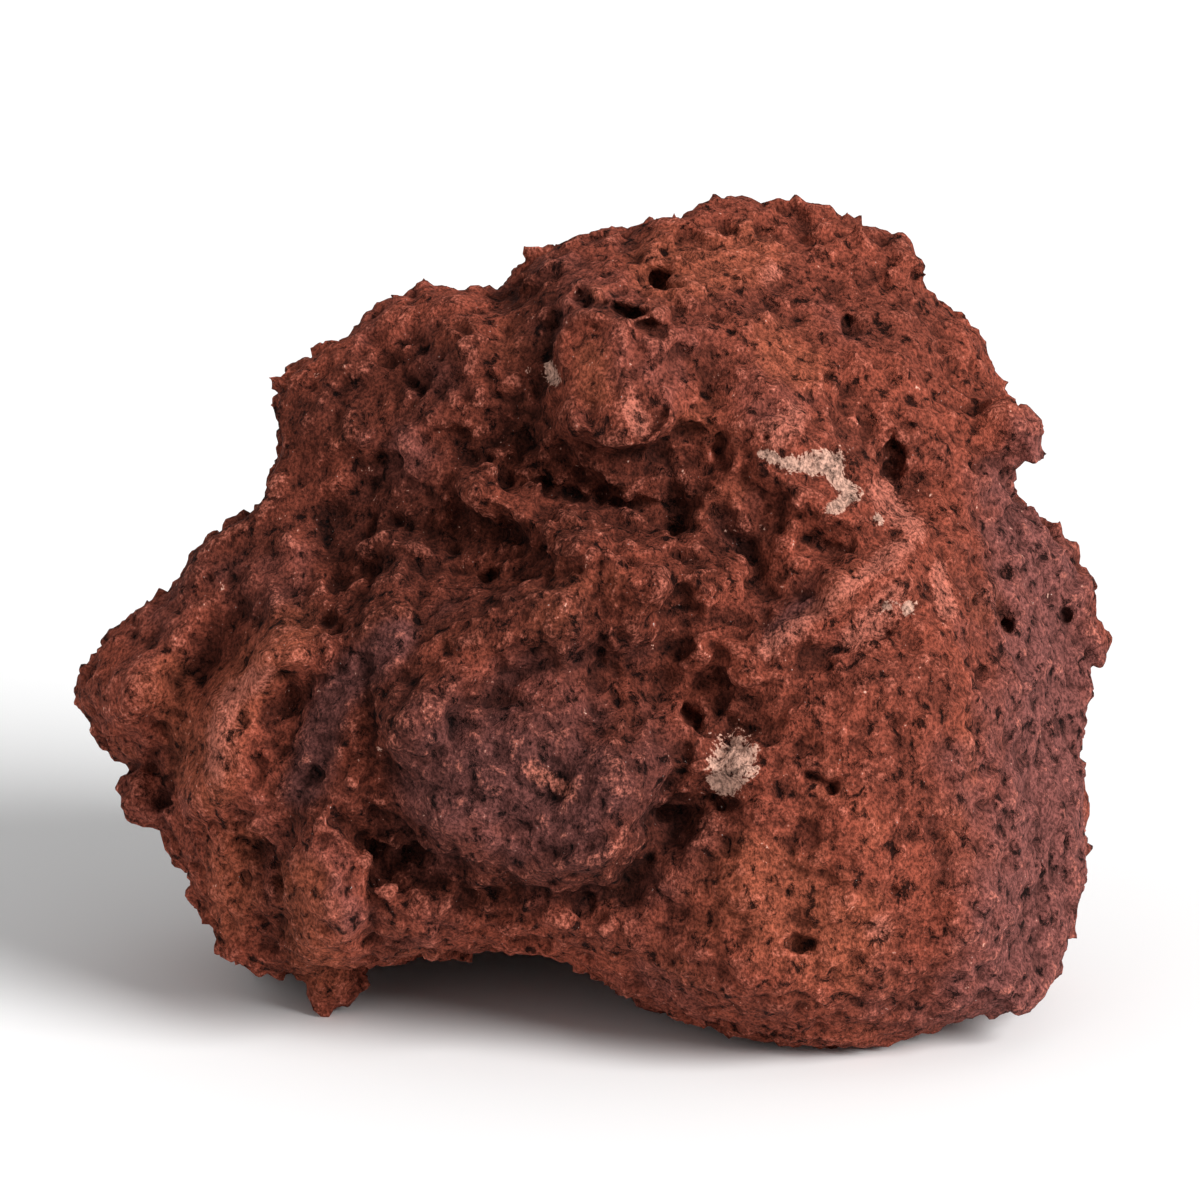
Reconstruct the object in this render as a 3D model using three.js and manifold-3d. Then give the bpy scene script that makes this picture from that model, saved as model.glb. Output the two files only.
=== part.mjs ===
// Red lava rock: a lump of scoria about 206 mm wide, one closed solid.
// Millimetres, +Z up. The rock rests on z = 0 and its broad front looks along -Y.
import * as THREE from 'three';
import { mergeVertices } from 'three/addons/utils/BufferGeometryUtils.js';
import { ImprovedNoise } from 'three/addons/math/ImprovedNoise.js';
import Module from 'manifold-3d';

// Driving dimensions.
// The form is set out on a leaning face: [across, up] on the face, and "out" square to it.
const FACE_LEAN = THREE.MathUtils.degToRad(15); // the face leans back from the vertical
const FRONT_BULGE = 46; // how far the front swells out of the outline
const FRONT_BLOCKINESS = 2.3; // 2 is an ellipsoid, more is squarer
const BACK_BULGE = 72; // how far the back swells behind the outline
const BACK_BLOCKINESS = 2.9;
const BACK_FLARE = 0.004; // the back swells more towards its foot, by this share for each mm
const FLOOR_LEVEL = -81; // height of the resting plane, from the middle of the face
const UNDERSIDE_LEVEL = -79; // height of the worn underside, from which lumps reach the floor
const FORM_WANDER = 5; // how far the edges of the forms stray from a smooth line
const WANDER_LENGTH = 17; // and over what length
const RIM_RELIEF = 0.3; // share of the relief that may move the outline
const RIM_CALM = 0.45; // share of the bulge over which the forms grow from nothing at the outline
const BREAK_FLATNESS = 0.85; // how nearly flat the broken faces are
const BODY_DETAIL = 19; // icosahedron subdivision of the main body
const FRONT_CROWDING = 0.3; // how much closer the points lie on the front than on the back
const KNOB_DETAIL = 3; // subdivision of the knobs that stand off the body
const HOLE_DETAIL = 1; // and of the gas holes

// Outline of the rock seen square to its front face, clockwise from the top, without the
// knob, chip and foot that stand off it.
const OUTLINE = [
  [32, 82], [50, 80], [58, 74], [63, 71], [65, 64.5], [71, 59], [77, 53], [77.5, 47], [81, 41],
  [84, 33], [84.5, 23], [87, 17], [94, 10], [99, -1], [102, -11], [98, -17], [97, -28], [96.5, -48],
  [97, -55], [94.5, -64], [91, -76], [84, -80], [72, -82], [61, -86.5], [50, -88.5], [30, -87],
  [17, -84], [7, -80], [0, -75], [-10, -70.5], [-18, -69], [-30, -70.5], [-46, -73], [-60, -74],
  [-70, -74.5], [-75, -70], [-81, -60], [-86, -50], [-90, -42], [-95, -33], [-100, -27.5],
  [-104.5, -17], [-100, -10], [-94, -2.5], [-86, 1.5], [-81.5, 10], [-77, 13], [-68, 18.5],
  [-67, 24], [-64.5, 33], [-64, 43], [-55, 50], [-42, 60], [-30, 62.5], [-19, 63.5], [-11, 71],
  [7, 75], [25, 80.5],
];

// Forms of the front: the path of [across, up] points that a form follows, its half width, how
// far it rises (or sinks, if negative), how steep its edge is (0 a dome, near 1 a cliff), and
// how far it hangs down over what is below it.
const FRONT_FORMS = [
  { name: 'lower right belly', path: [[46, -56], [62, -30]], width: 46, rise: 9 },
  { name: 'valley beside nose', path: [[-17, 64], [-14, 54], [-15, 42]], width: 13, rise: -13 },
  { name: 'nose', path: [[2, 54], [2, 45], [6, 36]], width: 15, rise: 13, edge: 0.4, hang: 5 },
  { name: 'brow', path: [[18, 58], [30, 40], [46, 28]], width: 19, rise: 7, edge: 0.3, hang: 3 },
  { name: 'hollow under nose', path: [[-22, 30], [-4, 25], [12, 21], [27, 15]], width: 15, rise: -18 },
  { name: 'dark hollow', path: [[-46, 15], [-32, 10], [-18, 14]], width: 17, rise: -12 },
  { name: 'hollow block', path: [[-22, 21], [-12, 17], [-4, 12]], width: 8, rise: 9, edge: 0.3 },
  { name: 'hollow pebble', path: [[-11, 30]], width: 6, rise: 7, edge: 0.3 },
  { name: 'square block', path: [[23, 5]], width: 9, rise: 8, edge: 0.4 },
  { name: 'middle block', path: [[4, 9], [9, 7]], width: 9, rise: 7, edge: 0.3 },
  { name: 'left pebble', path: [[-38, 7], [-46, 13]], width: 7, rise: 5, edge: 0.2 },
  { name: 'long arm', path: [[2, 0], [-14, -2], [-36, -17], [-40, -24]], width: 13, rise: 10, edge: 0.2 },
  { name: 'groove under arm', path: [[-18, -17], [-32, -28]], width: 8, rise: -5 },
  { name: 'purple ridge', path: [[-42, -6], [-51, -15], [-58, -38]], width: 10, rise: 9, edge: 0.1 },
  { name: 'groove beside purple ridge', path: [[-46, -18], [-48, -30], [-46, -44]], width: 8, rise: -6 },
  { name: 'orange ridge', path: [[-58, -6], [-74, -22], [-77, -38]], width: 10, rise: 9, edge: 0.1 },
  { name: 'groove beside orange ridge', path: [[-60, -15], [-66, -25], [-67, -38]], width: 6, rise: -5 },
  { name: 'valley left of ridges', path: [[-70, -4], [-84, -18], [-88, -36]], width: 10, rise: -7 },
  { name: 'left point', path: [[-97, -18]], width: 14, rise: 6 },
  { name: 'round lobe', path: [[-22, -34], [-6, -34]], width: 27, rise: 13, edge: 0.2, hang: 2 },
  { name: 'undercut of lobe', path: [[-42, -48], [-20, -57], [2, -54], [14, -42]], width: 9, rise: -10 },
  { name: 'crease to the right', path: [[14, -42], [27, -38]], width: 7, rise: -7 },
  { name: 'ledge under lobe', path: [[-34, -64], [-12, -64]], width: 9, rise: 5, edge: 0.3 },
  { name: 'foot column', path: [[-56, -50], [-53, -72]], width: 12, rise: 10, edge: 0.2 },
  { name: 'groove left of foot', path: [[-67, -50], [-66, -72]], width: 8, rise: -7 },
  { name: 'lower left lobe', path: [[-76, -54], [-74, -66]], width: 10, rise: 5 },
  { name: 'throat', path: [[19, -15], [20, -24]], width: 9, rise: -13 },
  { name: 'pale mound', path: [[27, -31]], width: 10, rise: 5 },
  { name: 'right hand ridge', path: [[62, 12], [72, -6], [75, -34], [73, -62]], width: 18, rise: 6 },
  { name: 'fissure', path: [[52, 36], [57, 27], [62, 17]], width: 7, rise: -7 },
  { name: 'pink ridge', path: [[60, 10], [50, 3], [40, -6], [32, -12]], width: 9, rise: 7, edge: 0.2 },
  { name: 'hollow above pink ridge', path: [[34, 13], [46, 11]], width: 11, rise: -9 },
];

// Forms of the back, set out the same way, still as seen from the front.
const BACK_FORMS = [
  { name: 'heel', path: [[-30, -58], [34, -62]], width: 26, rise: 14 },
  { name: 'back cliff', path: [[-52, 6], [-22, 36]], width: 32, rise: -12, edge: 0.3 },
  { name: 'back shoulder', path: [[40, 36]], width: 38, rise: 11, edge: 0.3 },
  { name: 'back hollow', path: [[8, 2], [36, -16]], width: 22, rise: -18 },
  { name: 'back arm', path: [[-50, -10], [-18, -20], [6, -36]], width: 15, rise: 12, edge: 0.2 },
  { name: 'back fissure', path: [[-6, 62], [4, 40], [-6, 20]], width: 10, rise: -10 },
  { name: 'back lobe', path: [[66, -38]], width: 26, rise: 12, edge: 0.3 },
  { name: 'back left lobe', path: [[-72, -32]], width: 22, rise: 10, edge: 0.3 },
];

// Broad broken faces: the way each one looks, as [across, up, out], and how far it lies from
// the middle of the rock.
const BREAKS = [
  { name: 'left slope', facing: [-0.45, 0.35, 0.82], distance: 46 },
  { name: 'right face', facing: [0.75, 0.1, 0.65], distance: 71 },
  { name: 'top face', facing: [0.3, 0.75, 0.6], distance: 64 },
  { name: 'back right face', facing: [0.55, 0.15, -0.82], distance: 68 },
  { name: 'back top face', facing: [0.1, 0.65, -0.75], distance: 69 },
  { name: 'back left face', facing: [-0.6, 0.2, -0.77], distance: 74 },
  { name: 'back foot face', facing: [0.1, -0.3, -0.95], distance: 86 },
];

// The underside, worn nearly level.
const UNDERSIDE = {
  facing: [0, -Math.cos(FACE_LEAN), -Math.sin(FACE_LEAN)],
  distance: -UNDERSIDE_LEVEL,
};

// Knobs that stand off the body: middle as [across, up, out], and half sizes.
const KNOBS = [
  { name: 'right knob', at: [80.5, 32.5, 0], half: [8.5, 8.5, 12] },
  { name: 'left chip', at: [-91, -39.5, -2], half: [5.5, 5.5, 7] },
  { name: 'foot', at: [-53.5, -72.5, -6], half: [6.5, 10.8, 11] },
];

// Gas holes large enough to see from a step away: place on the front, and half sizes.
const HOLES = [
  { name: 'square hole', at: [11, 64], half: [2.6, 3, 6] },
  { name: 'top hole', at: [25.5, 74], half: [2.6, 2.4, 6] },
  { name: 'throat hole', at: [19, -20], half: [3.5, 6, 9] },
  { name: 'brow hole', at: [50, 55], half: [2.4, 3, 4] },
  { name: 'fissure hole', at: [58, 27], half: [3, 5, 5] },
  { name: 'ridge hole', at: [-58, -34], half: [4, 3, 4] },
  { name: 'right hole', at: [80, -3], half: [3, 4, 5] },
  { name: 'belly hole', at: [39, -66.5], half: [3.4, 2, 4] },
  { name: 'crack above nose', at: [4, 56], half: [7, 1.6, 5] },
];

// Lumpy, crumbled relief all over: spacing and height of each size of lump, and the turn of
// its pattern.
const LUMPS = [
  { spacing: 38, height: 5.5, turn: new THREE.Euler(0.5, 0.3, 0.2) },
  { spacing: 19, height: 3.6, turn: new THREE.Euler(1.1, 0.7, 0.4) },
  { spacing: 10, height: 2.0, turn: new THREE.Euler(0.3, 1.2, 0.9) },
];

const wasm = await Module();
wasm.setup();
const noise = new ImprovedNoise();
const { clamp, lerp, smoothstep } = THREE.MathUtils;

// Distance from the middle of the face to the outline, for each of a ring of angles.
const OUTLINE_STEPS = 720;
function outlineRadii(smoothing) {
  const corners = OUTLINE.map(([across, up]) => new THREE.Vector3(across, up, 0));
  const curve = new THREE.CatmullRomCurve3(corners, true, 'centripetal');
  const radii = new Array(OUTLINE_STEPS).fill(0);
  for (const p of curve.getSpacedPoints(OUTLINE_STEPS * 8)) {
    const turn = Math.atan2(p.y, p.x) / (2 * Math.PI) + 1;
    const step = Math.round(turn * OUTLINE_STEPS) % OUTLINE_STEPS;
    radii[step] = Math.max(radii[step], Math.hypot(p.x, p.y));
  }
  return radii.map((_, i) => {
    let sum = 0;
    for (let k = -smoothing; k <= smoothing; k++) {
      sum += radii[(i + k + OUTLINE_STEPS) % OUTLINE_STEPS];
    }
    return sum / (2 * smoothing + 1);
  });
}
const rimRadii = outlineRadii(2);
const innerRadii = outlineRadii(60);

function radiusAt(radii, angle) {
  const step = (angle / (2 * Math.PI) + 1) * OUTLINE_STEPS;
  const low = Math.floor(step);
  return lerp(radii[low % OUTLINE_STEPS], radii[(low + 1) % OUTLINE_STEPS], step - low);
}

// How far out of the face the outline itself lies: nearer the front at the bottom right,
// further back at the top and at both sides.
function rimOut(across, up) {
  return -(0.13 + 0.0016 * across) * up - 0.001 * across * across;
}

// Turns a direction from the middle towards the front, to crowd the points there.
function crowdForward(direction) {
  const turn = Math.acos(clamp(-direction.y, -1, 1));
  const nearer = turn * (1 - FRONT_CROWDING * (1 - turn / Math.PI));
  const spread = Math.sin(turn) > 1e-6 ? Math.sin(nearer) / Math.sin(turn) : 1;
  return direction.set(direction.x * spread, -Math.cos(nearer), direction.z * spread);
}

// From a direction to a point of the smooth body, as [across, up, out].
function bodyPoint(direction) {
  const isFront = direction.y < 0;
  const power = isFront ? FRONT_BLOCKINESS : BACK_BLOCKINESS;
  const flat = Math.hypot(direction.x, direction.z);
  const depth = Math.abs(direction.y);
  const stretch = Math.pow(Math.pow(flat, power) + Math.pow(depth, power), -1 / power);
  const reach = flat * stretch;
  const angle = Math.atan2(direction.z, direction.x);
  const radius = lerp(radiusAt(innerRadii, angle), radiusAt(rimRadii, angle), Math.pow(reach, 4));
  const across = reach * radius * Math.cos(angle);
  const up = reach * radius * Math.sin(angle);
  const bulge = isFront ? FRONT_BULGE : -BACK_BULGE * (1 - BACK_FLARE * up);
  return new THREE.Vector3(across, up, rimOut(across, up) + bulge * depth * stretch);
}

// Flattens what stands beyond a broken face.
function breakOff(point, { facing, distance }) {
  const away = new THREE.Vector3(...facing).normalize();
  const beyond = point.dot(away) - distance;
  return beyond > 0 ? point.addScaledVector(away, -beyond * BREAK_FLATNESS) : point;
}

// Distance from a point of the face to a path drawn on it.
function distanceToPath(across, up, path) {
  let nearest = Infinity;
  path.forEach(([x1, y1], i) => {
    const [x0, y0] = path[Math.max(i - 1, 0)];
    const dx = x1 - x0;
    const dy = y1 - y0;
    const length2 = dx * dx + dy * dy;
    const along = length2 ? clamp(((across - x0) * dx + (up - y0) * dy) / length2, 0, 1) : 0;
    nearest = Math.min(nearest, Math.hypot(across - x0 - along * dx, up - y0 - along * dy));
  });
  return nearest;
}

// What the listed forms add at a point: how far out, and how far down they hang.
function formsAt(forms, { x, y }) {
  const across = x + FORM_WANDER * noise.noise(x / WANDER_LENGTH, y / WANDER_LENGTH, 2.5);
  const up = y + FORM_WANDER * noise.noise(x / WANDER_LENGTH, y / WANDER_LENGTH, 7.5);
  let rise = 0;
  let hang = 0;
  for (const form of forms) {
    const share = distanceToPath(across, up, form.path) / form.width;
    const weight = 1 - smoothstep(share, form.edge ?? 0, 1);
    rise += form.rise * weight;
    hang += (form.hang ?? 0) * weight;
  }
  return { rise, hang };
}

// Round lumps with creases between them.
function lumpsAt(point) {
  return LUMPS.reduce((sum, { spacing, height, turn }) => {
    const { x, y, z } = point.clone().applyEuler(turn).divideScalar(spacing);
    return sum + height * (2 * Math.abs(noise.noise(x, y, z)) - 0.5);
  }, 0);
}

// A closed icosahedron ball whose shared vertices are merged.
function closedBall(detail) {
  const ball = new THREE.IcosahedronGeometry(1, detail);
  ball.deleteAttribute('normal');
  ball.deleteAttribute('uv');
  return mergeVertices(ball, 1e-5);
}

// Moves every vertex of a geometry by a function of the point and its index.
function reshape(geometry, move) {
  const { position } = geometry.attributes;
  const point = new THREE.Vector3();
  for (let i = 0; i < position.count; i++) {
    const moved = move(point.fromBufferAttribute(position, i), i);
    position.setXYZ(i, moved.x, moved.y, moved.z);
  }
  return geometry;
}

// From [across, up, out] of the leaning face to the rock's upright frame.
function standUp(point) {
  const sin = Math.sin(FACE_LEAN);
  const cos = Math.cos(FACE_LEAN);
  return point.set(point.x, point.y * sin - point.z * cos, point.y * cos + point.z * sin);
}

function toSolid(geometry) {
  return new wasm.Manifold(new wasm.Mesh({
    numProp: 3,
    vertProperties: geometry.attributes.position.array,
    triVerts: new Uint32Array(geometry.index.array),
  }));
}

// The main body: the smooth form, then its ridges and hollows, then the crumbled lumps.
function makeBody() {
  const geometry = closedBall(BODY_DETAIL);
  reshape(geometry, (direction) => {
    crowdForward(direction);
    const isFront = direction.y < 0;
    const share = smoothstep(Math.abs(direction.y), 0, RIM_CALM);
    const point = BREAKS.reduce(breakOff, bodyPoint(direction));
    const { rise, hang } = formsAt(isFront ? FRONT_FORMS : BACK_FORMS, point);
    point.z += (isFront ? rise : -rise) * share;
    point.y -= hang * share;
    return breakOff(point, UNDERSIDE);
  });
  geometry.computeVertexNormals();
  const normal = new THREE.Vector3();
  reshape(geometry, (point, i) => {
    normal.fromBufferAttribute(geometry.attributes.normal, i);
    normal.multiply(new THREE.Vector3(RIM_RELIEF, RIM_RELIEF, 1));
    return standUp(point.addScaledVector(normal, lumpsAt(point)));
  });
  geometry.deleteAttribute('normal');
  return toSolid(geometry);
}

// A rough ball: a knob to join on, or the space of a gas hole.
function makeBall([across, up, out], half, detail, roughness) {
  const middle = new THREE.Vector3(across, up, out);
  const size = new THREE.Vector3(...half);
  return toSolid(reshape(closedBall(detail), (point) => {
    const swell = 1 + roughness * noise.noise(point.x * 1.3 + across, point.y * 1.3, point.z * 1.3);
    return standUp(point.multiply(size).multiplyScalar(swell).add(middle));
  }));
}

// How far out of the face the front surface lies at a place on it.
function frontOut(solid, across, up) {
  const { numVert, numProp, vertProperties } = solid.getMesh();
  const sin = Math.sin(FACE_LEAN);
  const cos = Math.cos(FACE_LEAN);
  let nearest = Infinity;
  let found = 0;
  for (let i = 0; i < numVert; i++) {
    const [x, y, z] = vertProperties.subarray(i * numProp, i * numProp + 3);
    const out = z * sin - y * cos;
    const away = Math.hypot(x - across, y * sin + z * cos - up);
    if (out > 0 && away < nearest) {
      nearest = away;
      found = out;
    }
  }
  return found;
}

function makeFloor() {
  const floor = new THREE.BoxGeometry(400, 400, 100);
  floor.deleteAttribute('normal');
  floor.deleteAttribute('uv');
  floor.translate(0, 0, FLOOR_LEVEL - 50);
  return toSolid(mergeVertices(floor));
}

function makeRock() {
  let rock = makeBody();
  for (const { at, half } of KNOBS) {
    rock = rock.add(makeBall(at, half, KNOB_DETAIL, 0.35));
  }
  for (const { at, half } of HOLES) {
    rock = rock.subtract(makeBall([...at, frontOut(rock, ...at)], half, HOLE_DETAIL, 0.25));
  }
  return rock.subtract(makeFloor());
}

function toGeometry(solid) {
  const { vertProperties, triVerts } = solid.getMesh();
  const geometry = new THREE.BufferGeometry();
  geometry.setAttribute('position', new THREE.BufferAttribute(vertProperties, 3));
  geometry.setIndex(new THREE.BufferAttribute(triVerts, 1));
  return geometry;
}

// Origin at the middle of the rock's box, on the resting plane.
const geometry = toGeometry(makeRock());
geometry.computeBoundingBox();
const middle = geometry.boundingBox.getCenter(new THREE.Vector3());
geometry.translate(-middle.x, -middle.y, -FLOOR_LEVEL);
geometry.computeVertexNormals();

const scoria = new THREE.MeshStandardMaterial({ color: 0x70382b, roughness: 0.95, metalness: 0 });
const lavaRock = new THREE.Mesh(geometry, scoria);
lavaRock.name = 'lava_rock';

const part = new THREE.Group();
part.add(lavaRock);
export default part;
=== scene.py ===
# %% [markdown]
# A lump of red lava rock.
# Scoria is lava that froze while gas was boiling out of it. The stone is one piece, full of
# pores, and rust has turned it brick red with purple, orange and pale dusty places.
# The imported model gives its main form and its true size. This lesson keeps that form and gives
# it the broken, grainy skin of the real stone: first as true relief in the mesh, and then as
# colour and fine grain in the material.

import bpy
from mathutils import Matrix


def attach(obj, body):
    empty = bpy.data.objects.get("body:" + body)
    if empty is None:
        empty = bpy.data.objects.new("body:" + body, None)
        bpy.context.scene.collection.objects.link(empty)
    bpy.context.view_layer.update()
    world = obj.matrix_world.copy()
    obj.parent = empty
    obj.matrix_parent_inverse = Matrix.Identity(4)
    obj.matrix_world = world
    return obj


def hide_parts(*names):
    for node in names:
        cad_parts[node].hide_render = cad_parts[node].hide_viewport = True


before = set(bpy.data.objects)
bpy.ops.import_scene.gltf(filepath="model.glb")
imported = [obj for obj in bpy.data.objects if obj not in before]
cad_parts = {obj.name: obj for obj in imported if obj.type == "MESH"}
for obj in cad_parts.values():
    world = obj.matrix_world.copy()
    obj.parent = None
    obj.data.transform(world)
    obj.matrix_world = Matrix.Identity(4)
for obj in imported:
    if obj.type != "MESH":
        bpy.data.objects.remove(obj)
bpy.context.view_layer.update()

# %% [markdown]
# Where things are.
# The rock was measured on its front, as seen square to a face that leans back a little. A place
# on that face is two numbers in millimetres, across and up from the middle of the face. Keeping
# those numbers makes it easy to put a crack or a stain where the real stone has it, so a helper
# gives the place of each point of a mesh on that face, and how far out of the face it is.

# %% The leaning face
import math

import bpy
import numpy as np
from mathutils import Vector, noise

MM = 0.001
FACE_LEAN = math.radians(15)
FACE_MIDDLE = Vector((1.17, -4.93, 81.0)) * MM
face_up = Vector((0, math.sin(FACE_LEAN), math.cos(FACE_LEAN)))
face_out = Vector((0, -math.cos(FACE_LEAN), math.sin(FACE_LEAN)))


def face_places(points):
    """The millimetres across, up and out of points that are in metres."""
    away = (np.asarray(points) - np.array(FACE_MIDDLE)) / MM
    return away[:, 0], away @ np.array(face_up), away @ np.array(face_out)


print("the face's middle is at", tuple(FACE_MIDDLE))

# %% [markdown]
# Camera, light and floor.
# The stone was seen square to its leaning face from some way off, so a long lens on the face's
# outward line gives the same view. The light is wide and soft and comes from the right and from
# in front, with a weaker one from the left and a pale sky. Sun lamps with a wide angle light the
# floor evenly as far as it goes, which an area lamp near the stone wouldn't do.

# %% Camera
VIEW_WIDTH = 0.240  # metres across the picture, at the face
VIEW_DISTANCE = 1.6
scene = bpy.context.scene
camera_data = bpy.data.cameras.new("camera")
camera_data.sensor_width = 36
camera_data.lens = camera_data.sensor_width * VIEW_DISTANCE / VIEW_WIDTH
camera = bpy.data.objects.new("camera", camera_data)
camera.location = FACE_MIDDLE + face_out * VIEW_DISTANCE
camera.rotation_euler = (-face_out).to_track_quat("-Z", "Y").to_euler()
scene.collection.objects.link(camera)
scene.camera = camera
print("lens:", round(camera_data.lens), "mm")

# %% Lamps and sky


def add_sun(name, comes_from, strength, spread):
    """A lamp far away, as wide in the sky as its spread in degrees."""
    lamp = bpy.data.lights.new(name, "SUN")
    lamp.energy = strength
    lamp.angle = math.radians(spread)
    holder = bpy.data.objects.new(name, lamp)
    holder.location = Vector(comes_from)
    holder.rotation_euler = (-Vector(comes_from)).to_track_quat("-Z", "Y").to_euler()
    scene.collection.objects.link(holder)


add_sun("key_light", comes_from=(0.95, -0.75, 0.75), strength=4.0, spread=32)
add_sun("left_light", comes_from=(-0.9, -0.6, 0.5), strength=0.25, spread=60)
sky = bpy.data.worlds.new("sky")
sky.use_nodes = True
background = sky.node_tree.nodes["Background"]
background.inputs["Color"].default_value = (1, 1, 1, 1)
background.inputs["Strength"].default_value = 0.45
scene.world = sky
scene.view_settings.view_transform = "Standard"

# %% Floor
FLOOR_SIZE = 6.0


def make_floor():
    """A plain pale sheet that the rock stands on."""
    half = FLOOR_SIZE / 2
    corners = [(-half, -half, 0), (half, -half, 0), (half, half, 0), (-half, half, 0)]
    mesh = bpy.data.meshes.new("floor")
    mesh.from_pydata(corners, [], [(0, 1, 2, 3)])
    material = bpy.data.materials.new("pale_floor")
    material.use_nodes = True
    shader = material.node_tree.nodes["Principled BSDF"]
    shader.inputs["Base Color"].default_value = (0.96, 0.96, 0.96, 1)
    shader.inputs["Roughness"].default_value = 0.9
    mesh.materials.append(material)
    floor = bpy.data.objects.new("floor", mesh)
    scene.collection.objects.link(floor)
    return floor


floor = make_floor()
print("floor:", FLOOR_SIZE, "m across")

# %% [markdown]
# Helpers for node trees.
# Both the relief and the material are node trees. One small function that adds a node, sets its
# options and fills or links its inputs keeps those trees readable, and five more name the steps
# that come up again and again: arithmetic on numbers and on vectors, a smooth step, a mix of two
# colours and fractal noise.

# %% Node helpers


def add_node(tree, kind, inputs=None, **settings):
    """Adds a node. An input is a value, or the socket of another node to link from."""
    node = tree.nodes.new(kind)
    for name, value in settings.items():
        setattr(node, name, value)
    for key, value in (inputs or {}).items():
        if isinstance(value, bpy.types.NodeSocket):
            tree.links.new(value, node.inputs[key])
        else:
            node.inputs[key].default_value = value
    return node


def calculate(tree, operation, first, second=0.0, third=0.0):
    """One step of arithmetic on numbers."""
    values = {0: first, 1: second, 2: third}
    return add_node(tree, "ShaderNodeMath", values, operation=operation).outputs[0]


def calculate_vector(tree, operation, first, second):
    """One step of arithmetic on vectors."""
    node = add_node(tree, "ShaderNodeVectorMath", {0: first, 1: second}, operation=operation)
    return node.outputs["Value" if operation == "DOT_PRODUCT" else "Vector"]


def ramp(tree, value, start, end, low=0.0, high=1.0):
    """A smooth step from low to high as the value goes from start to end."""
    inputs = {"Value": value, "From Min": start, "From Max": end, "To Min": low, "To Max": high}
    return add_node(tree, "ShaderNodeMapRange", inputs, interpolation_type="SMOOTHSTEP").outputs[0]


# A Mix node has more sockets of the same names, so those of a colour mix are given by number.
MIX_SHARE, MIX_FIRST, MIX_SECOND = 0, 6, 7
MIX_RESULT = 2


def mix(tree, share, first, second, blend_type="MIX"):
    """Goes from the first colour to the second as the share goes from 0 to 1."""
    inputs = {MIX_SHARE: share, MIX_FIRST: first, MIX_SECOND: second}
    node = add_node(tree, "ShaderNodeMix", inputs, data_type="RGBA", blend_type=blend_type)
    return node.outputs[MIX_RESULT]


def waves(tree, place, per_metre, detail=4.0, roughness=0.6, distortion=0.0):
    """Fractal noise: its values are about 0.5, mostly between 0.3 and 0.7."""
    inputs = {
        "Vector": place, "Scale": per_metre, "Detail": detail, "Roughness": roughness,
        "Distortion": distortion,
    }
    return add_node(tree, "ShaderNodeTexNoise", inputs).outputs


print("helpers ready")

# %% [markdown]
# From facets to stone.
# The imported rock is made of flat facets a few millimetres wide, far too coarse for pores. A voxel
# remesh gives it an even net of small faces, and smoothing that net rubs the facets away but
# leaves the ridges and hollows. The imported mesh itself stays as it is: a copy is worked on, and
# its loose triangles are merged first.

# %% Skin of the rock
VOXEL = 0.7 * MM
FACET_SMOOTHING = 14  # rounds of smoothing
MERGE_DISTANCE = 0.002 * MM


def apply_modifiers(piece):
    """Turns what the modifiers make into the piece's own plain mesh."""
    graph = bpy.context.evaluated_depsgraph_get()
    mesh = bpy.data.meshes.new_from_object(piece.evaluated_get(graph))
    old = piece.data
    piece.modifiers.clear()
    piece.data = mesh
    bpy.data.meshes.remove(old)


def add_remesh(piece):
    """Covers the piece in an even net of small faces."""
    remesh = piece.modifiers.new("even_net", "REMESH")
    remesh.mode = "VOXEL"
    remesh.voxel_size = VOXEL


def copy_of_node(node):
    """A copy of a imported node's mesh, with its loose triangles merged."""
    piece = bpy.data.objects.new("lava_rock_skin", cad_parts[node].data.copy())
    piece.data.materials.clear()
    scene.collection.objects.link(piece)
    piece.modifiers.new("merge", "WELD").merge_threshold = MERGE_DISTANCE
    return piece


rock = copy_of_node("lava_rock")
add_remesh(rock)
rub = rock.modifiers.new("rub_off_facets", "SMOOTH")
rub.factor = 0.5
rub.iterations = FACET_SMOOTHING
apply_modifiers(rock)
print("skin:", len(rock.data.vertices), "points")

# %% [markdown]
# Shapes with a place of their own.
# Some features have a place of their own on the real stone: the chip of the nose, the crack over
# it, the cleft beside the pale mound, the pores on the purple ridge. Each one is a short path on
# the face with a half width. Points of the skin near a path move straight out or in. A fill
# raises what lies too deep by a height, a level raises it to one distance out of the face, and
# cracks and holes sink. A little noise makes their edges ragged, as a break in stone is. The nose
# is put on two planes that meet in a ridge, because it is a chip with flat sides and not a ball,
# and the skin below it is cut back so that it stands free.

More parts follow.
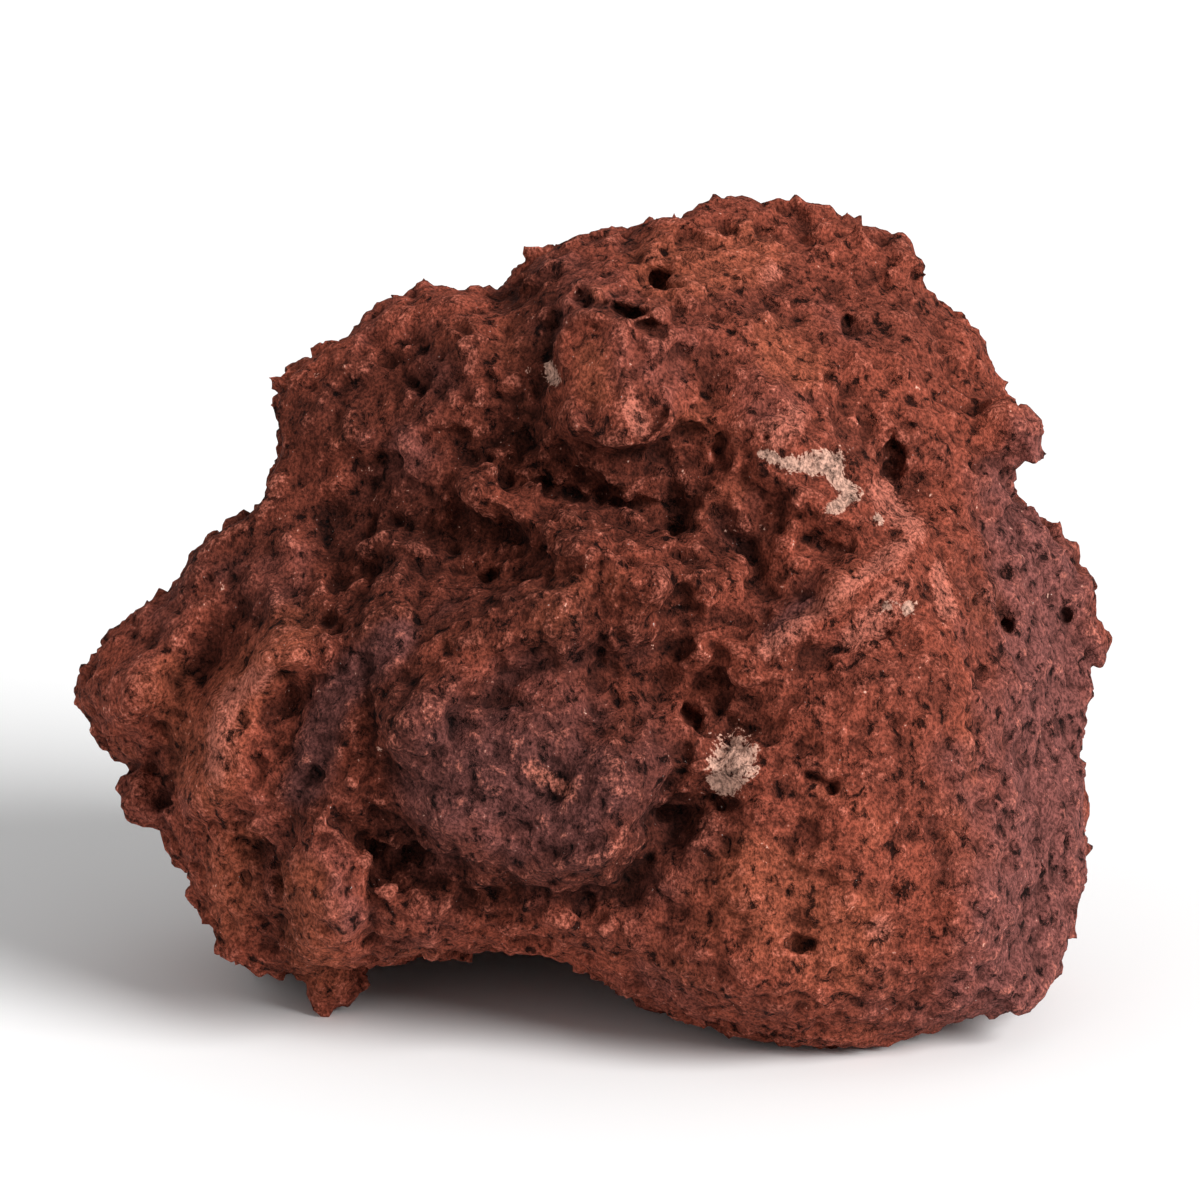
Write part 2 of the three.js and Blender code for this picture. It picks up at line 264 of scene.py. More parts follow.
# %% Placed shapes
# Each fill has a name, a path, a half width and a height, all in millimetres.
FILLS = [
    ("under the brow", [(22, 18), (32, 14), (46, 9)], 10, 11),
    ("below the crust", [(50, 12), (54, 4)], 8, 5),
    ("below the nose", [(-26, 30), (-10, 26), (6, 19)], 8, 4.5),
    ("beside the nose", [(-14, 62), (-14, 42)], 7, 9),
    ("throat", [(22, -14), (21, -24)], 8, 9),
    ("lobe's seam", [(-40, -54), (-20, -57), (0, -52), (14, -43), (28, -39)], 5, 4.5),
    ("orange fold", [(-64, -12), (-67, -28), (-66, -42)], 5, 5),
    ("left low", [(-72, -50), (-68, -58)], 6, 4),
    ("purple fold", [(-47, -16), (-49, -34)], 4, 3),
    ("fork", [(-46, -36), (-44, -50)], 6, 7),
    ("left pits", [(-82, -7), (-74, -4), (-68, 0)], 6, 4),
    ("ridge pit", [(-60, -13)], 5, 6),
    ("arch", [(-40, -58), (-28, -58)], 5, 6),
    ("hollow", [(-25, 15)], 5, 2),
    ("below the nose", [(14, 19)], 5, 7),
    ("nose's left", [(-22, 36), (-11, 33)], 6, 6),
    ("upper left", [(-50, 23)], 5, 3),
    ("left slope", [(-80, 2), (-74, -4)], 6, 3),
    ("clod", [(-26, 23), (-12, 13)], 3.5, 5.5),
    ("clod", [(-6, 11)], 4.5, 4.5),
    ("clod", [(8, 7), (12, 9)], 5, 2.5),
    ("right of the throat", [(36, -20), (34, -26)], 5, 2.5),
]
# Each level has a name, a path, a half width and a distance out of the face.
LEVELS = [
    ("below the nose", [(14, 18)], 6, 33),
    ("below the brow", [(31, 17), (35, 13)], 6, 38),
    ("below the salmon ridge", [(41, 5)], 5, 42),
    ("throat", [(21, -17)], 6, 45),
    ("left of the nose", [(-20, 34)], 8, 24),
]
# Each crack has a name, a path, a half width and a depth.
CRACKS = [
    ("over the nose", [(-4, 59), (1, 57.5), (5, 56), (12, 52)], 2.4, 5),
    ("under the ledge", [(-14, 23), (-3, 20)], 1.6, 3),
    ("cleft", [(19, -15), (18, -20), (20, -27)], 1.4, 3),
    ("cleft arm", [(19, -17), (26, -14)], 1.3, 3),
    ("fork", [(-45, -48), (-40, -56), (-38, -63)], 1.2, 1.5),
    ("fissure", [(51, 36), (56, 27), (60, 20)], 1.2, 2),
    ("belly crack", [(40, -34), (45, -36)], 1.2, 3),
    ("below the mound", [(12, -42), (22, -40), (30, -39)], 1.5, 2),
    ("left of the foot", [(-63, -54), (-62, -72)], 1.5, 3),
    ("small crack", [(19, 57), (24, 55)], 1.2, 3),
    ("groove below the arm", [(-22, 5), (-12, 4), (-4, 6)], 1.6, 3),
    ("between the clods", [(-1, 8), (2, 4)], 1.4, 3),
]
# Each hole has a name, a middle, a radius and a depth.
HOLES = [
    ("square hole", (11.4, 64.6), 2.5, 6),
    ("top hole", (25.4, 74.6), 1.8, 4),
    ("brow hole", (49.4, 55.6), 1.5, 3),
    ("fissure hole", (57, 33), 1.6, 2.5),
    ("dark hole", (24, 35), 1.4, 2),
    ("right hole", (80, 5), 2.0, 3),
    ("right pit", (80, -5), 2.2, 3.5),
    ("right pore", (74, -14), 1.6, 3),
    ("edge hole", (94, -3.4), 2.0, 3),
    ("ridge pore", (-63, -27), 1.0, 1.6),
    ("ridge pore", (-58, -32), 1.1, 1.8),
    ("ridge pore", (-61, -33), 1.0, 1.6),
    ("ridge pore", (-55, -34), 1.0, 1.6),
    ("ridge pore", (-60, -37), 1.0, 1.6),
    ("ridge pore", (-57, -29), 0.9, 1.5),
    ("belly hole", (38, -66.6), 1.7, 3),
    ("belly pore", (58, -57), 1.3, 2.5),
    ("belly pore", (66, -62), 1.3, 2.5),
    ("left hole", (-77.6, 4.6), 1.4, 2.5),
]
# Shares of the half width up to which such a shape is whole, and from which it is gone.
FILL_EDGE, LEVEL_EDGE, CRACK_EDGE = (0.2, 1.3), (0.6, 1.2), (0.3, 1.0)
LEVEL_REACH = 25  # a level raises only what lies less than this below it
FACING = 0.25  # how squarely a point has to face the front to move in full
# The path that the nose lies along, and how far from it the chip is whole and gone.
NOSE_PATH, NOSE_REACH = [(-0.5, 49), (4.5, 38)], (7.5, 9.5)
NOSE_BACK = 10  # points less far out than this aren't part of the nose
# A place on the ridge between its two flat sides, and how far out of the face that is.
NOSE_RIDGE, NOSE_TOP = (4.5, 55), 42
NOSE_SLOPES = (0.7, -0.5, -0.25)  # of the left side, of the right side, and upwards
# The skin below the nose is cut back to a level.
UNDERCUT_PATH, UNDERCUT_REACH = [(-4, 25), (3, 23), (12, 23), (18, 28)], (6, 8)
UNDERCUT_LEVEL = 34
RAGGED = 0.9  # millimetres that an edge strays
RAGGED_LENGTH = 2.4  # and over what length
RAGGED_SEED = 4  # without a seed, this noise differs from run to run


def path_distance(across, up, path):
    """How far each place lies from a path on the face, in millimetres."""
    nearest = np.full(len(across), np.inf)
    for (x0, y0), (x1, y1) in zip(path, path[1:] or path):
        dx, dy = x1 - x0, y1 - y0
        along = ((across - x0) * dx + (up - y0) * dy) / max(dx * dx + dy * dy, 1e-9)
        along = np.clip(along, 0, 1)
        nearest = np.minimum(nearest, np.hypot(across - x0 - along * dx, up - y0 - along * dy))
    return nearest


def fade(values, full, gone):
    """1 up to full, 0 from gone on, and a smooth step between."""
    share = np.clip((gone - values) / (gone - full), 0, 1)
    return share * share * (3 - 2 * share)


def near_path(across, up, path, width, edge):
    """1 close to a path and 0 away from it, with its edge in shares of the half width."""
    full, gone = edge
    return fade(path_distance(across, up, path), full * width, gone * width)


def read_points(mesh, field="vertices", name="co"):
    """The places of a mesh's points, or another three numbers that it keeps for each."""
    out = np.empty(len(getattr(mesh, field)) * 3, dtype=np.float32)
    getattr(mesh, field).foreach_get(name, out)
    return out.reshape(-1, 3).astype(float)


def write_points(mesh, points):
    """Puts a mesh's points at new places."""
    mesh.vertices.foreach_set("co", points.astype(np.float32).ravel())
    mesh.update()


def stray(points, length, size):
    """A smooth random shift for each point, in millimetres across and up."""
    noise.seed_set(RAGGED_SEED)
    shifts = np.array([noise.noise_vector(Vector(p) / (length * MM))[:2] for p in points])
    return shifts * size


def chip_nose(across, up, out):
    """How far the points at the nose move to lie on its two flat sides, in millimetres."""
    near = fade(path_distance(across, up, NOSE_PATH), *NOSE_REACH) * (out > NOSE_BACK)
    aside = across - NOSE_RIDGE[0]
    sides = np.where(aside < 0, NOSE_SLOPES[0] * aside, NOSE_SLOPES[1] * aside)
    level = NOSE_TOP + sides + NOSE_SLOPES[2] * (up - NOSE_RIDGE[1])
    below = fade(path_distance(across, up, UNDERCUT_PATH), *UNDERCUT_REACH)
    return near * (level - out) - (1 - near) * below * np.clip(out - UNDERCUT_LEVEL, 0, None)


def shape_front(mesh):
    """Gives the front its placed shapes, and says how many points moved over half a millimetre."""
    points = read_points(mesh)
    normals = read_points(mesh, "vertex_normals", "vector")
    across, up, out = face_places(points)
    faces_us = fade(-(normals @ np.array(face_out)), -FACING, 0.0) * (out > 0)
    rise = np.zeros(len(points))
    for _, path, width, high in FILLS:
        rise = np.maximum(rise, high * near_path(across, up, path, width, FILL_EDGE))
    ragged = stray(points, RAGGED_LENGTH, RAGGED)
    across, up = across + ragged[:, 0], up + ragged[:, 1]
    rise *= faces_us
    chipped = chip_nose(across, up, out + rise)
    rise += np.where(chipped > 0, chipped * faces_us, chipped)
    for _, path, width, level in LEVELS:
        near = near_path(across, up, path, width, LEVEL_EDGE) * (out > level - LEVEL_REACH)
        rise += near * np.clip(level - out - rise, 0, None)
    depth = np.zeros(len(points))
    round_holes = [(name, [middle], radius, deep) for name, middle, radius, deep in HOLES]
    for _, path, width, deep in CRACKS + round_holes:
        depth = np.maximum(depth, deep * near_path(across, up, path, width, CRACK_EDGE))
    rise -= depth * faces_us
    write_points(mesh, points + np.outer(rise * MM, np.array(face_out)))
    return int((abs(rise) > 0.5).sum())


print("points moved out or in:", shape_front(rock.data))

# %% [markdown]
# Chips, creases, crumbs, pits and bubbles.
# All over, the stone is broken into chips: small planes at all angles, with steps between them.
# Creases part them into clumps, crumbs roughen them, and burst gas bubbles leave pits. These
# repeat by a rule, so Geometry Nodes make them. Each Voronoi cell becomes one tilted chip,
# fractal noise bends the cells so that no edge is straight, and the sum of it all moves the
# points along their normals. Each size is a named input of the tree. The slopes are worn and
# calmer than the hollows, so an attribute first says how calm the stone is at each point.

# %% Calm places
# Each calm place has a path, a half width and how calm it is.
CALM = [
    ([(62, 0), (72, -30), (60, -62)], 34, 1),
    ([(92, 0), (90, -60)], 24, 1),
    ([(40, 62), (64, 42)], 24, 1),
    ([(-30, -26), (-8, -36)], 22, 1),
    ([(20, -62), (60, -68)], 26, 1),
    ([(-34, -6), (-8, -8)], 12, 1),
    ([(-50, -20), (-58, -40)], 8, 1),
    ([(-30, 66), (-52, 50)], 8, 1),
    ([(-68, -60), (-56, -70)], 10, 1),
    ([(-2, 50), (3, 38)], 17, 1.5),
    ([(-92, -12), (-74, 6), (-62, 24)], 17, 2),
    ([(-66, -8), (-77, -34)], 11, 2),
]
CALM_EDGE = (0.5, 1.3)
CALM_ELSEWHERE = 0.35


def add_calm(mesh):
    """Keeps how calm the surface is at each point, up to 2 on the most worn slopes."""
    across, up, out = face_places(read_points(mesh))
    strength = np.full(len(across), CALM_ELSEWHERE)
    for path, width, most in CALM:
        near = near_path(across, up, path, width, CALM_EDGE)
        strength = np.maximum(strength, most * near * (out > 0))
    kept = mesh.attributes.new("calm", "FLOAT", "POINT")
    kept.data.foreach_set("value", strength.astype(np.float32))
    return round(float(strength.mean()), 2)


print("mean calm:", add_calm(rock.data))

# %% Relief tree
RELIEF = {
    "Seed": 4.0,
    "Swell size": 18 * MM, "Swell height": 1.8 * MM,
    "Crease size": 10 * MM, "Crease height": 1.0 * MM,
    "Chip size": 8.5 * MM, "Chip slope": 0.34,
    "Flake size": 3.2 * MM, "Flake slope": 0.42,
    "Crumb size": 2.0 * MM, "Crumb height": 0.75 * MM,
    "Pit size": 4.2 * MM, "Pit depth": 1.0 * MM,
    "Bubble spacing": 6.0 * MM, "Bubble depth": 0.8 * MM,
}
WARP_SIZE = 6 * MM
WARP_REACH = 5 * MM


def start_tree(name, sizes, kind="NodeSocketFloat"):
    """A tree with a shape, a material and named sizes going in, and a shape coming out."""
    tree = bpy.data.node_groups.new(name, "GeometryNodeTree")
    tree.interface.new_socket("Geometry", in_out="INPUT", socket_type="NodeSocketGeometry")
    tree.interface.new_socket("Material", in_out="INPUT", socket_type="NodeSocketMaterial")
    for size_name in sizes:
        tree.interface.new_socket(size_name, in_out="INPUT", socket_type=kind)
    tree.interface.new_socket("Geometry", in_out="OUTPUT", socket_type="NodeSocketGeometry")
    return tree, add_node(tree, "NodeGroupInput").outputs


def end_tree(tree, shape, material):
    """Realize Instances and Set Material, and out."""
    real = add_node(tree, "GeometryNodeRealizeInstances", {"Geometry": shape}).outputs[0]
    inputs = {"Geometry": real, "Material": material}
    dressed = add_node(tree, "GeometryNodeSetMaterial", inputs).outputs[0]
    add_node(tree, "NodeGroupOutput", {"Geometry": dressed})


def read_attribute(tree, name):
    """What an attribute of the mesh says at each point."""
    inputs = {"Name": name}
    return add_node(tree, "GeometryNodeInputNamedAttribute", inputs, data_type="FLOAT").outputs[0]


def make_relief_tree(name, sizes):
    """A tree that gives a skin its chips, creases, crumbs, pits and bubbles."""
    tree, given = start_tree(name, sizes)
    place = add_node(tree, "GeometryNodeInputPosition").outputs[0]
    place = calculate_vector(tree, "ADD", place, given["Seed"])

    def per_metre(size_name):
        return calculate(tree, "DIVIDE", 1.0, given[size_name])

    def noise_of(size_name, detail):
        values = waves(tree, place, per_metre(size_name), detail)["Fac"]
        return calculate(tree, "SUBTRACT", values, 0.5)

    def scaled(value, size_name, times=1.0):
        return calculate(tree, "MULTIPLY", calculate(tree, "MULTIPLY", value, times), given[size_name])

    bend = waves(tree, place, 1 / WARP_SIZE)["Color"]
    bend = calculate_vector(tree, "SUBTRACT", bend, (0.5, 0.5, 0.5))
    bend = calculate_vector(tree, "MULTIPLY", bend, (WARP_REACH,) * 3)
    bent = calculate_vector(tree, "ADD", place, bend)

    def cells(vector, size_name):
        inputs = {"Vector": vector, "Scale": per_metre(size_name)}
        return add_node(tree, "ShaderNodeTexVoronoi", inputs).outputs

    def tilted(kind):
        cell = cells(bent, kind + " size")
        tilt = calculate_vector(tree, "SUBTRACT", cell["Color"], (0.5, 0.5, 0.5))
        tilt = calculate_vector(tree, "MULTIPLY", tilt, (2.0, 2.0, 2.0))
        away = calculate_vector(tree, "SUBTRACT", bent, cell["Position"])
        return scaled(calculate_vector(tree, "DOT_PRODUCT", away, tilt), kind + " slope")

    crease = calculate(tree, "ABSOLUTE", noise_of("Crease size", 3.0))
    crease = calculate(tree, "SUBTRACT", crease, 0.08)
    calm = read_attribute(tree, "calm")
    wild = ramp(tree, calm, 0.0, 1.0, 1.2, 0.35)
    rough = ramp(tree, calm, 1.0, 2.0, 1.0, 0.45)
    raised = [
        calculate(tree, "MULTIPLY", scaled(noise_of("Swell size", 7.0), "Swell height", 2.0), wild),
        calculate(tree, "MULTIPLY", scaled(crease, "Crease height", 4.0), wild),
        calculate(tree, "MULTIPLY", tilted("Chip"), wild),
        calculate(tree, "MULTIPLY", tilted("Flake"), rough),
        scaled(noise_of("Crumb size", 3.0), "Crumb height", 2.0),
    ]
    pit = ramp(tree, noise_of("Pit size", 2.0), -0.11, -0.19)
    bubble = cells(calculate_vector(tree, "MULTIPLY", bent, (1.0, 1.0, 0.75)), "Bubble spacing")
    chance = add_node(tree, "FunctionNodeSeparateColor", {0: bubble["Color"]}).outputs[0]
    radius = ramp(tree, chance, 0.55, 1.0, 0.001, 0.24)
    inside = calculate(tree, "DIVIDE", bubble["Distance"], radius)
    sunk = [scaled(pit, "Pit depth"), scaled(ramp(tree, inside, 1.0, 0.5), "Bubble depth")]

    height = raised[0]
    for part in raised[1:]:
        height = calculate(tree, "ADD", height, part)
    for part in sunk:
        height = calculate(tree, "SUBTRACT", height, calculate(tree, "MULTIPLY", part, rough))
    normal = add_node(tree, "GeometryNodeInputNormal").outputs[0]
    inputs = {0: normal, "Scale": height}
    offset = add_node(tree, "ShaderNodeVectorMath", inputs, operation="SCALE").outputs[0]
    inputs = {"Geometry": given["Geometry"], "Offset": offset}
    moved = add_node(tree, "GeometryNodeSetPosition", inputs)
    end_tree(tree, moved.outputs[0], given["Material"])
    return tree


def use_tree(piece, tree, values):
    """Adds the tree as a modifier and sets its inputs by their identifiers."""
    modifier = piece.modifiers.new(tree.name, "NODES")
    modifier.node_group = tree
    for item in tree.interface.items_tree:
        if item.in_out == "INPUT" and item.name in values:
            modifier[item.identifier] = values[item.name]


scoria = bpy.data.materials.new("scoria")
use_tree(rock, make_relief_tree("scoria_relief", RELIEF), {**RELIEF, "Material": scoria})
apply_modifiers(rock)
print("relief on", len(rock.data.vertices), "points")

# %% [markdown]
# A clean closed net.
# Pushing points about can fold the net over itself in the deepest creases. A second voxel remesh
# closes the stone again, and Decimate then spends the triangles where the surface bends most.
# What reaches below the floor is pressed flat, since the stone has worn places where it rests.

# %% Clean net
TRIANGLES = 195_000
add_remesh(rock)
apply_modifiers(rock)
thin = rock.modifiers.new("spend_triangles", "DECIMATE")
thin.ratio = TRIANGLES / sum(len(p.vertices) - 2 for p in rock.data.polygons)
thin.use_collapse_triangulate = True
apply_modifiers(rock)
points = read_points(rock.data)
points[:, 2] = np.maximum(points[:, 2], 0)
write_points(rock.data, points)
rock.data.shade_smooth()
print("clean net:", len(rock.data.polygons), "triangles")

# %% [markdown]
# Stains.
# The colour of the stone goes in broad zones: purple where the lava was richest in gas, orange
# where it rusted most, pink dust along the edges and a few spots of pale crust. Dirt and painted
# shade together darken the deep folds, hollows and cracks. Each stain is a path on the face with
# a half width, and its strength is kept as an attribute that fades towards its edge.

# %% Stain attributes
# Each patch of a stain has a path and a half width.
STAINS = {
    "purple": [
        ([(-24, -34), (-10, -38)], 24),
        ([(90, 18), (94, -10), (90, -50), (84, -76)], 22),
        ([(-40, -8), (-52, -18), (-58, -36)], 6),
        ([(34, -7), (40, -1)], 3),
    ],
    "orange": [
        ([(-2, 47), (-1, 41)], 6),
        ([(-60, -6), (-72, -18), (-77, -36)], 9),
        ([(34, 50), (40, 46)], 8),
        ([(-86, -16), (-80, -34)], 9),
        ([(30, -56), (46, -66)], 18),
        ([(14, 66), (30, 70)], 12),
        ([(-58, -56), (-56, -74)], 10),
        ([(-72, -48), (-74, -62)], 9),
    ],
    "pink": [
        ([(34, 32), (38, 36)], 5),
        ([(55, 21), (61, 14)], 5),
        ([(60, 11), (50, 4), (40, -4), (32, -10)], 3.6),
        ([(34, 65)], 4),
        ([(-14, -32), (-6, -37)], 3),
        ([(-66, -15), (-73, -20), (-75, -33)], 5),
        ([(66, 6), (68, -2)], 3.5),
        ([(6, 38), (8, 34)], 4),
        ([(26, -30)], 7),
        ([(54, -64)], 5),
        ([(57, 0), (50, -7)], 6),
    ],
    "crust": [
        ([(32, 28.5), (36, 26.5), (41, 26)], 1.7),
        ([(42, 26.5), (46, 27)], 3.0),
        ([(45, 25), (49.5, 20.5)], 2.1),
        ([(49, 20), (45, 17.5)], 1.6),
        ([(26, -31)], 5.5),
        ([(60, -1.5)], 1.9),
        ([(55.5, -1)], 1.6),
        ([(-10, 46), (-9, 43)], 1.3),
        ([(54, 15.6)], 1.5),
        ([(24, -35)], 4),
    ],
    # Dirt and painted shade: this stain darkens the hollows, folds and cracks where shade falls.
    "dirt_and_painted_shade": [
        ([(-4, 59), (1, 57.5), (5, 56), (12, 52)], 1.8),
        ([(16, 4), (26, 12)], 7),
        ([(32, -6), (38, -10)], 6),
        ([(-26, 32), (-4, 26), (10, 19)], 14),
        ([(-48, 15), (-30, 8), (-12, 10)], 15),
        ([(-13, 62), (-12, 44)], 6),
        ([(-46, -42), (-26, -56), (2, -52)], 9),
        ([(-66, -52), (-62, -72)], 6),
        ([(-38, -22), (-16, -30), (4, -34), (6, -46)], 17),
        ([(-32, 0), (-8, -6), (12, -6)], 11),
        ([(-48, 38), (-30, 46)], 12),
        ([(-78, 8), (-62, 24), (-60, 34)], 12),
        ([(-44, -4), (-62, 0)], 9),
        ([(-50, -18), (-58, -38)], 7),
    ],
}
STAIN_EDGE = (0.0, 1.5)
FRONT_FULL, FRONT_GONE = 12, -40  # millimetres out of the face between which the stains end


def add_stains(mesh):
    """Keeps the strength of each stain at each point."""
    across, up, out = face_places(read_points(mesh))
    front = fade(-out, -FRONT_FULL, -FRONT_GONE)
    for stain, patches in STAINS.items():
        strength = np.zeros(len(across))
        for path, width in patches:
            strength = np.maximum(strength, near_path(across, up, path, width, STAIN_EDGE))
        strength = strength * front
        kept = mesh.attributes.new(stain, "FLOAT", "POINT")
        kept.data.foreach_set("value", strength.astype(np.float32))
        print(stain, "covers", round(100 * float((strength > 0.5).mean()), 1), "% of the points")


add_stains(rock.data)

# %% [markdown]
# Weathering.
# Broad colour doesn't need to be worked out for every pixel of a picture: a colour kept at each
# point of the net is enough, and it makes the material light. Geometry Nodes mix it. The base
# goes between brick red and maroon in broad waves, and each stain comes over it, broken up by
# noise so that none ends in a clean line. Dirt and painted shade darken what lies deep, and dust
# gathers on what stands out. The tree can tell the two apart: it blurs the positions over the net,
# and how far a point stands off that blurred surface, along its normal, is its height over its
# neighbours.

# %% Weathering tree
BRICK = (0.210, 0.047, 0.027, 1)
MAROON = (0.140, 0.033, 0.020, 1)
PURPLE = (0.160, 0.052, 0.044, 1)
ORANGE = (0.250, 0.062, 0.033, 1)
BLURS = {"Crumb blur": 6, "Clump blur": 60}


def make_weathering_tree(name):
    """A tree that keeps the tint with its painted shade, the dust, the pale crust and two heights at
    each point.
    """
    tree, given = start_tree(name, BLURS, "NodeSocketInt")
    place = add_node(tree, "GeometryNodeInputPosition").outputs[0]
    normal = add_node(tree, "GeometryNodeInputNormal").outputs[0]

    def patches(size, detail=5.0):
        return waves(tree, place, 1 / size, detail)["Fac"]

    def standing(blur_name):
        blur = add_node(tree, "GeometryNodeBlurAttribute", data_type="FLOAT_VECTOR")
        tree.links.new(place, next(s for s in blur.inputs if s.type == "VECTOR"))
        tree.links.new(given[blur_name], blur.inputs["Iterations"])
        soft = next(s for s in blur.outputs if s.type == "VECTOR")
        away = calculate_vector(tree, "SUBTRACT", place, soft)
        return calculate(tree, "DIVIDE", calculate_vector(tree, "DOT_PRODUCT", away, normal), MM)

    def stain(stain_name, breakup, start, end):
        swing = calculate(tree, "SUBTRACT", breakup, 0.5)
        level = calculate(tree, "ADD", read_attribute(tree, stain_name), swing)
        return ramp(tree, level, start, end)

    def darken(colour, level):
        return mix(tree, 1.0, colour, level, "MULTIPLY")

    crumb, clump = standing("Crumb blur"), standing("Clump blur")
    colour = mix(tree, ramp(tree, patches(26 * MM), 0.40, 0.66), BRICK, MAROON)
    colour = mix(tree, ramp(tree, patches(41 * MM), 0.52, 0.72, 0.0, 0.7), colour, PURPLE)
    colour = mix(tree, ramp(tree, patches(23 * MM), 0.56, 0.74, 0.0, 0.7), colour, ORANGE)
    colour = mix(tree, stain("purple", patches(9 * MM), 0.25, 0.9), colour, PURPLE)
    colour = mix(tree, stain("orange", patches(7 * MM), 0.35, 1.0), colour, ORANGE)
    # Dirt and painted shade: the hollows and folds are darkened in the colour.
    colour = darken(colour, ramp(tree, stain("dirt_and_painted_shade", patches(12 * MM), 0.0, 1.0), 0.0, 1.0, 1.0, 0.55))
    # Painted shade: points that lie below their neighbours are darkened, in the crumbs and in the
    # clumps.
    colour = darken(colour, ramp(tree, crumb, -0.7, 0.1, 0.5, 1.0))
    colour = darken(colour, ramp(tree, clump, -3.0, 0.5, 0.5, 1.0))
    uneven = calculate(tree, "SUBTRACT", patches(8 * MM), 0.5)
    high = ramp(tree, calculate(tree, "ADD", crumb, uneven), 0.1, 0.7, 0.0, 0.45)
    dust = calculate(tree, "MAXIMUM", stain("pink", patches(5 * MM), 0.3, 1.1), high)
    shape = given["Geometry"]
    for kept_name, kind, value in (
        ("tint", "FLOAT_COLOR", colour),
        ("dust", "FLOAT", dust),
        ("pale", "FLOAT", read_attribute(tree, "crust")),
        ("crumb", "FLOAT", crumb),
        ("clump", "FLOAT", clump),
    ):
        inputs = {"Name": kept_name, "Geometry": shape, "Value": value}
        settings = {"data_type": kind, "domain": "POINT"}
        shape = add_node(tree, "GeometryNodeStoreNamedAttribute", inputs, **settings).outputs[0]
    end_tree(tree, shape, given["Material"])
    return tree


def attribute_values(mesh, name):
    """An attribute's value at each point of a mesh."""
    values = np.empty(len(mesh.vertices), dtype=np.float32)
    mesh.attributes[name].data.foreach_get("value", values)
    return values


use_tree(rock, make_weathering_tree("weathering"), {**BLURS, "Material": scoria})
apply_modifiers(rock)
for kept_name in ("crumb", "clump"):
    spread = np.percentile(attribute_values(rock.data, kept_name), (2, 98))
    print(kept_name, "height in mm, 2% to 98%:", spread.round(2))
for spent in (*STAINS, "crumb", "clump"):
    rock.data.attributes.remove(rock.data.attributes[spent])
print("attributes left:", rock.data.attributes.keys())

# %% [markdown]
# The scoria material.
# Up close the stone is grit: grains under a millimetre, each with a tone of its own, and between
# them small pores that look nearly black. Voronoi cells could give the grains, but they look like
# a mosaic. Fractal noise gives softer grains and, at a larger size, the pores with their uneven
# shapes. Both multiply the tint, the pores as painted shade that makes them nearly black, and
# both feed the bump, so that the light finds the same grains as the colour does. The brightest
# grains are painted glints.

# %% Grit group
UPRIGHT = (1.0, 1.0, 0.85)  # makes the grains and pores a little taller than wide


def make_grit_group():
    """Grit at one place: its tone with painted shade in the pores, its height, its shine as painted
    glints, and the noise of its pores and grains.
    """
    group = bpy.data.node_groups.new("grit", "ShaderNodeTree")
    group.interface.new_socket("Vector", in_out="INPUT", socket_type="NodeSocketVector")
    group.interface.new_socket("Grain Size", in_out="INPUT", socket_type="NodeSocketFloat")
    group.interface.new_socket("Pore Size", in_out="INPUT", socket_type="NodeSocketFloat")
    for output in ("Shaded Tone", "Height", "Shine", "Pores", "Grain"):
        group.interface.new_socket(output, in_out="OUTPUT", socket_type="NodeSocketFloat")
    given = add_node(group, "NodeGroupInput").outputs
    upright = calculate_vector(group, "MULTIPLY", given["Vector"], UPRIGHT)
    grain_scale = calculate(group, "DIVIDE", 1.0, given["Grain Size"])
    pore_scale = calculate(group, "DIVIDE", 1.0, given["Pore Size"])
    grain = waves(group, upright, grain_scale, 2.0, 0.65)["Fac"]
    pores = waves(group, upright, pore_scale, 4.0, 0.62, 0.4)["Fac"]
    # painted shade: the colour goes nearly black in the pores
    pore_shade = ramp(group, pores, 0.335, 0.39, 0.15, 1.0)
    tone = calculate(group, "MULTIPLY", ramp(group, grain, 0.32, 0.68, 0.5, 1.5), pore_shade)
    tone = calculate(group, "MULTIPLY", tone, ramp(group, pores, 0.40, 0.66, 0.88, 1.2))
    height = calculate(group, "MULTIPLY_ADD", grain, 0.5, ramp(group, pores, 0.30, 0.45))
    # painted glints: the highest grains turn pale in the colour
    shine = ramp(group, grain, 0.74, 0.78)
    values = {"Shaded Tone": tone, "Height": height, "Shine": shine, "Pores": pores, "Grain": grain}
    add_node(group, "NodeGroupOutput", values)
    return group


grit_group = make_grit_group()
print("group:", grit_group.name, [s.name for s in grit_group.interface.items_tree])

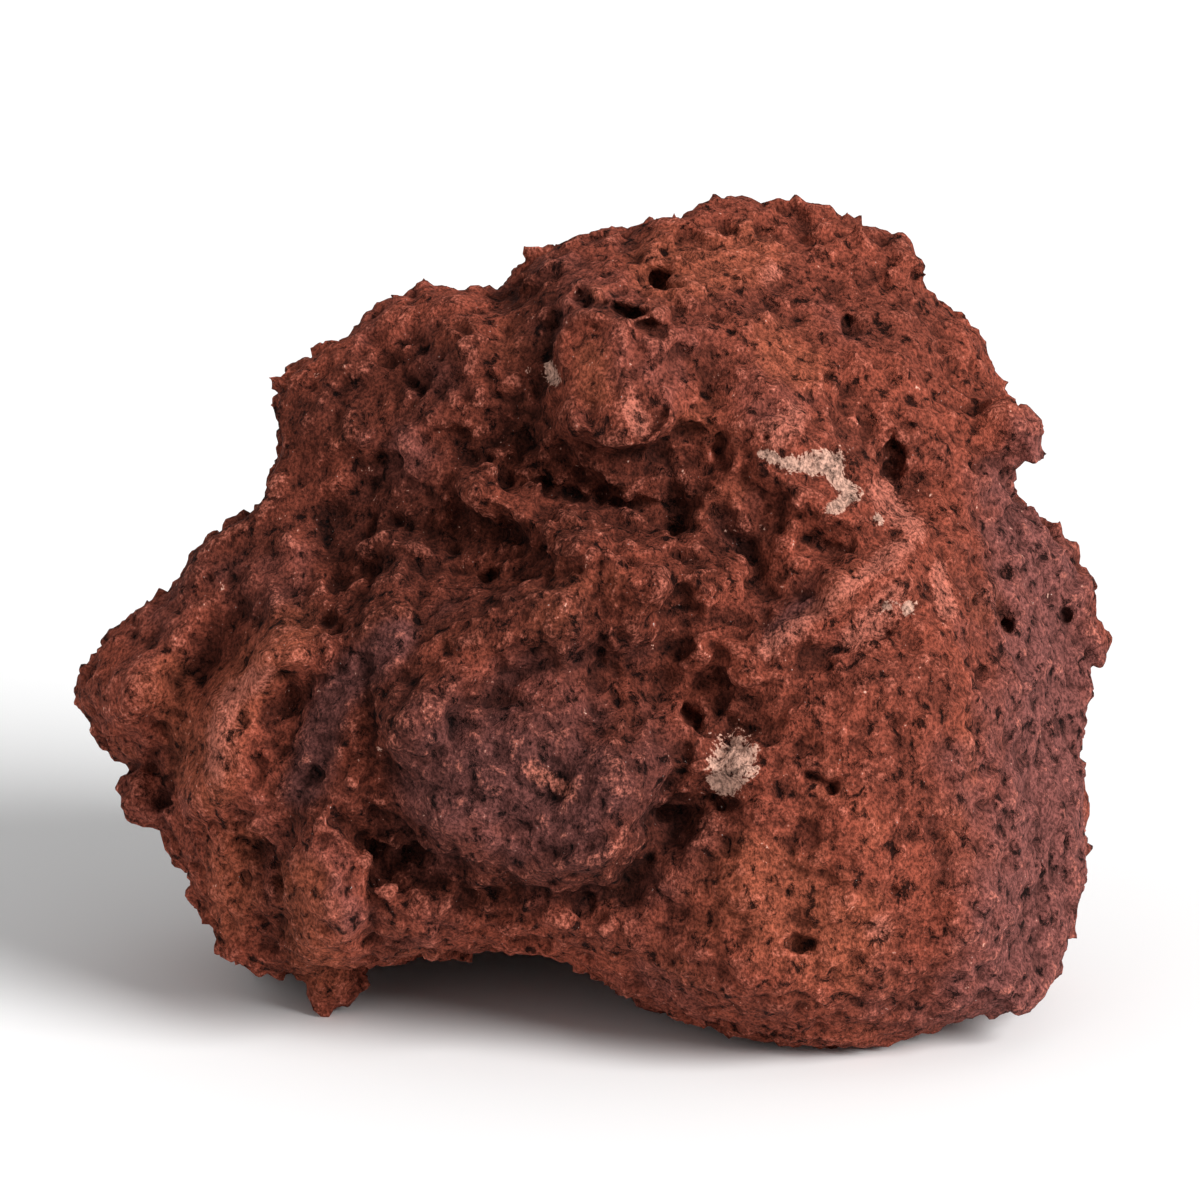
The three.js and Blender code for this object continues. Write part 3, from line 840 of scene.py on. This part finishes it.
# %% Scoria material
GRAIN_SIZE = 0.7 * MM
PORE_SIZE = 2.7 * MM
BUMP_DEPTH = 1.1 * MM
DUST = (0.37, 0.115, 0.078, 1)
CRUST = (0.39, 0.225, 0.17, 1)
PAINTED_GLINT = (0.45, 0.36, 0.32, 1)


def make_scoria(material):
    """Dust, pale crust, grit with painted shade in its pores, and painted glints over the tint that
    the mesh keeps.
    """
    material.use_nodes = True
    tree = material.node_tree
    shader = tree.nodes["Principled BSDF"]
    place = add_node(tree, "ShaderNodeTexCoord").outputs["Object"]
    tint = add_node(tree, "ShaderNodeAttribute", attribute_name="tint").outputs["Color"]
    inputs = {"Vector": place, "Pore Size": PORE_SIZE, "Grain Size": GRAIN_SIZE}
    grit = add_node(tree, "ShaderNodeGroup", inputs, node_tree=grit_group).outputs

    def breakup(name, pores_share, grain_share, start, end, most):
        level = add_node(tree, "ShaderNodeAttribute", attribute_name=name).outputs["Fac"]
        for output, share in (("Pores", pores_share), ("Grain", grain_share)):
            swing = calculate(tree, "SUBTRACT", grit[output], 0.5)
            level = calculate(tree, "MULTIPLY_ADD", swing, share, level)
        return ramp(tree, level, start, end, 0.0, most)

    colour = mix(tree, breakup("dust", 1.0, 1.2, 0.25, 1.0, 0.75), tint, DUST)
    colour = mix(tree, breakup("pale", 1.8, 1.0, 0.42, 0.58, 0.95), colour, CRUST)
    # the grains' own tone, with painted shade in the pores
    colour = mix(tree, 1.0, colour, grit["Shaded Tone"], "MULTIPLY")
    # painted glints on a few grains
    colour = mix(tree, grit["Shine"], colour, PAINTED_GLINT)
    tree.links.new(colour, shader.inputs["Base Color"])
    inputs = {"Height": grit["Height"], "Distance": BUMP_DEPTH, "Strength": 1.0}
    bump = add_node(tree, "ShaderNodeBump", inputs)
    tree.links.new(bump.outputs["Normal"], shader.inputs["Normal"])
    shader.inputs["Roughness"].default_value = 0.95
    shader.inputs["Specular IOR Level"].default_value = 0.1


make_scoria(scoria)
print("material:", scoria.name, len(scoria.node_tree.nodes), "nodes")

# %% [markdown]
# Hand over.
# The finished skin stands for the imported rock, which stays hidden for touch and weight.

# %% Finish
rock.name = "scoria_rock"
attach(rock, "root")
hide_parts("lava_rock")
